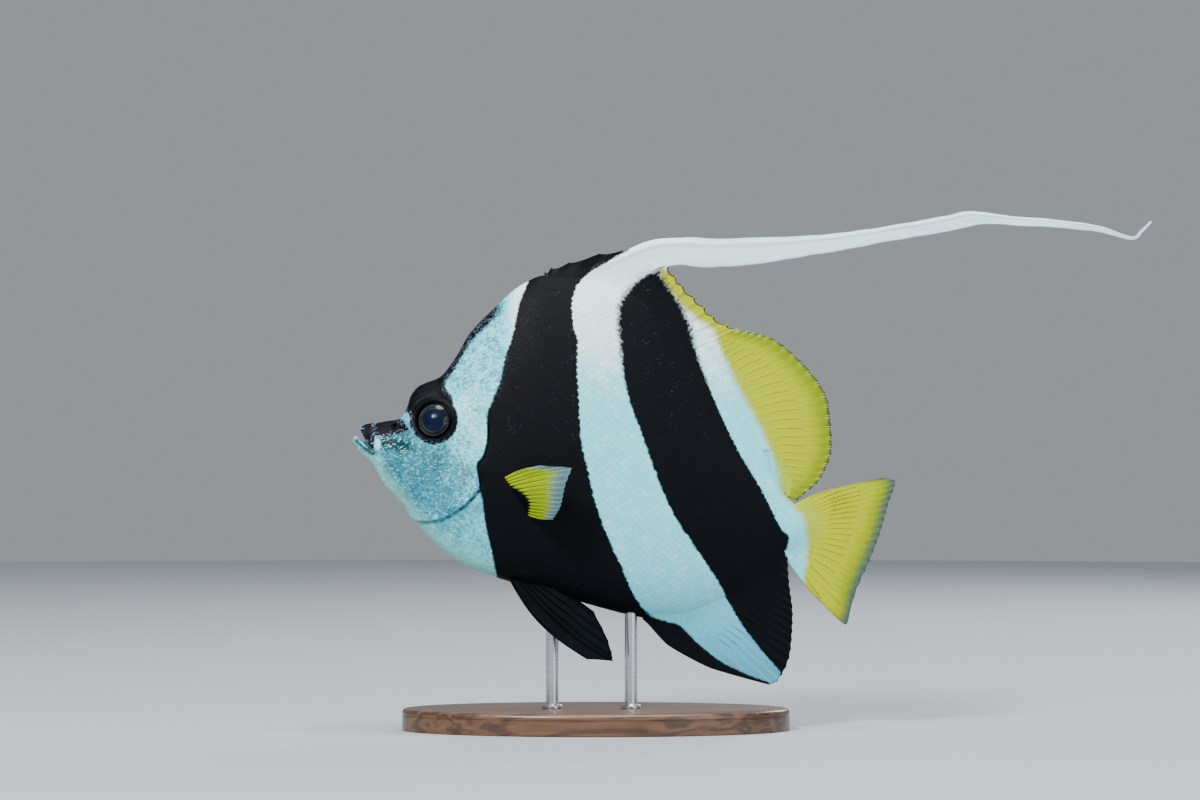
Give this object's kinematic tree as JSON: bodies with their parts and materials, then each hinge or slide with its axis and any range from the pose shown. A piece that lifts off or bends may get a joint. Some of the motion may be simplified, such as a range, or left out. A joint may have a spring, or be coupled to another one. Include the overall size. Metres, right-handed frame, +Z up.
{
  "type": "pennant coralfish model",
  "caption": "Life-size still model of a pennant coralfish with black bands, yellow fins and a long white dorsal streamer, held on an oval stand by thin rods.",
  "frame": {"origin": "middle of the underside of the oval stand base", "axes": "+Z up; the fish faces -X with its left side towards -Y, so +X runs back along the streamer"},
  "size_m": [0.2559, 0.066, 0.166],
  "materials": {
    "skin_silver": "silvery scaled skin, wet sheen",
    "skin_banded": "scaled skin with white and blue-black bands, wet sheen",
    "fin_dark": "thin blue-black fin membrane, satin",
    "fin_white": "thin white fin membrane, satin",
    "fin_yellow": "thin lemon-yellow fin membrane, satin",
    "eye_glass": "polished dark eye",
    "base_wood": "dark satin wood",
    "rod_steel": "brushed steel"
  },
  "bodies": {
    "root": {"head": "skin_silver", "torso": "skin_banded", "tail_stalk": "skin_banded", "eye_left": "eye_glass", "eye_right": "eye_glass", "dorsal_spines_front": "fin_dark", "pennant_root": "fin_white", "pennant_middle": "fin_white", "pennant_tip": "fin_white", "dorsal_spines_rear": "fin_dark", "dorsal_soft": "fin_yellow", "anal_fin": "fin_dark", "caudal_fin": "fin_yellow", "pectoral_fin_left": "fin_yellow", "pectoral_fin_right": "fin_yellow", "pelvic_fin_left": "fin_dark", "pelvic_fin_right": "fin_dark", "stand_base": "base_wood", "stand_rod_front": "rod_steel", "stand_rod_rear": "rod_steel"}
  },
  "joints": []
}
